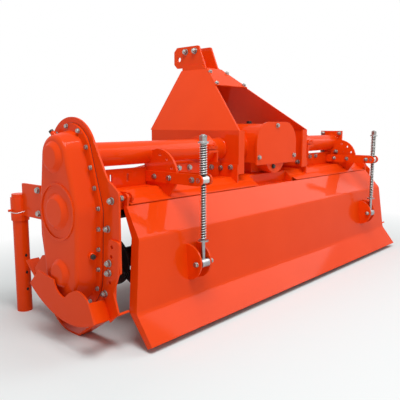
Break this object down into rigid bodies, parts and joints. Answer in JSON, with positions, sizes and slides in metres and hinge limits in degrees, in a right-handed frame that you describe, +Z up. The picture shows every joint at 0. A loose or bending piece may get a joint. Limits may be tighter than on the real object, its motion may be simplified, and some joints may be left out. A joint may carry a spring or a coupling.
{
  "type": "rotary tiller",
  "caption": "Tractor rotary tiller with a bladed rotor under a hood, side gear case, three point mast, sprung trailing board, skids and parking stands.",
  "frame": {"origin": "on the floor below the middle of the overall box", "axes": "+X across to the right seen from behind, +Y forward to the tractor, +Z up"},
  "size_m": [2.286, 0.8484, 1.165],
  "materials": {
    "paint": "gloss",
    "zinc": "satin",
    "rotor_steel": "satin",
    "bright_steel": "satin"
  },
  "bodies": {
    "frame": {"bearing": "paint", "case_guard": "paint", "gear_case": "paint", "gearbox": "paint", "gearbox_cover": "paint", "hood": "paint", "left_arm": "paint", "left_ear": "paint", "left_foot": "paint", "left_hitch": "paint", "left_saddle": "paint", "left_skid": "paint", "left_stand_bracket": "paint", "left_tube": "paint", "left_wall": "paint", "left_web": "paint", "mast_cap": "paint", "mast_front": "paint", "mast_hatch": "paint", "mast_left": "paint", "mast_right": "paint", "right_arm": "paint", "right_ear": "paint", "right_foot": "paint", "right_hitch": "paint", "right_saddle": "paint", "right_skid": "paint", "right_stand_bracket": "paint", "right_tube": "paint", "right_wall": "paint", "right_web": "paint"},
    "rotor": {"rotor": "rotor_steel"},
    "input_shaft": {"input_shaft": "bright_steel"},
    "board": {"board": "paint", "left_clevis": "paint", "right_clevis": "paint"},
    "left_trunnion": {"left_trunnion": "zinc", "left_top_spring": "zinc"},
    "right_trunnion": {"right_trunnion": "zinc", "right_top_spring": "zinc"},
    "left_rod": {"left_rod": "zinc", "left_low_spring": "zinc"},
    "right_rod": {"right_rod": "zinc", "right_low_spring": "zinc"},
    "left_stand": {"left_stand_leg": "paint"},
    "right_stand": {"right_stand_leg": "paint"}
  },
  "joints": [
    {"name": "rotor_spin", "type": "hinge", "parent": "frame", "child": "rotor", "pos_m": [0.047, -0.11723, 0.25], "axis": [-1, 0, 0], "continuous": true},
    {"name": "input_spin", "type": "hinge", "parent": "frame", "child": "input_shaft", "pos_m": [0.047, 0.03277, 0.647], "axis": [0, 1, 0], "continuous": true},
    {"name": "board_hinge", "type": "hinge", "parent": "frame", "child": "board", "pos_m": [0.047, -0.23273, 0.501], "axis": [-1, 0, 0], "range_deg": [0, 28]},
    {"name": "left_trunnion_tilt", "type": "hinge", "parent": "frame", "child": "left_trunnion", "pos_m": [-0.685, -0.38923, 0.556], "axis": [-1, 0, 0], "range_deg": [0, 25.92]},
    {"name": "left_rod_slide", "type": "slide", "parent": "left_trunnion", "child": "left_rod", "axis": [0, 0, 1], "range_m": [0, 0.08066], "deforming": ["left_low_spring"]},
    {"name": "right_trunnion_tilt", "type": "hinge", "parent": "frame", "child": "right_trunnion", "pos_m": [0.779, -0.38923, 0.556], "axis": [-1, 0, 0], "range_deg": [0, 25.92]},
    {"name": "right_rod_slide", "type": "slide", "parent": "right_trunnion", "child": "right_rod", "axis": [0, 0, 1], "range_m": [0, 0.08066], "deforming": ["right_low_spring"]},
    {"name": "left_stand_slide", "type": "slide", "parent": "frame", "child": "left_stand", "axis": [0, 0, 1], "range_m": [0, 0.3]},
    {"name": "right_stand_slide", "type": "slide", "parent": "frame", "child": "right_stand", "axis": [0, 0, 1], "range_m": [0, 0.3]}
  ],
  "couplings": [
    {"joint": "input_spin", "follows": "rotor_spin", "ratio": 2.57},
    {"joint": "left_trunnion_tilt", "follows": "board_hinge", "ratio": 0.908},
    {"joint": "left_rod_slide", "follows": "board_hinge", "m_per_rad": 0.163},
    {"joint": "right_trunnion_tilt", "follows": "board_hinge", "ratio": 0.908},
    {"joint": "right_rod_slide", "follows": "board_hinge", "m_per_rad": 0.163}
  ]
}
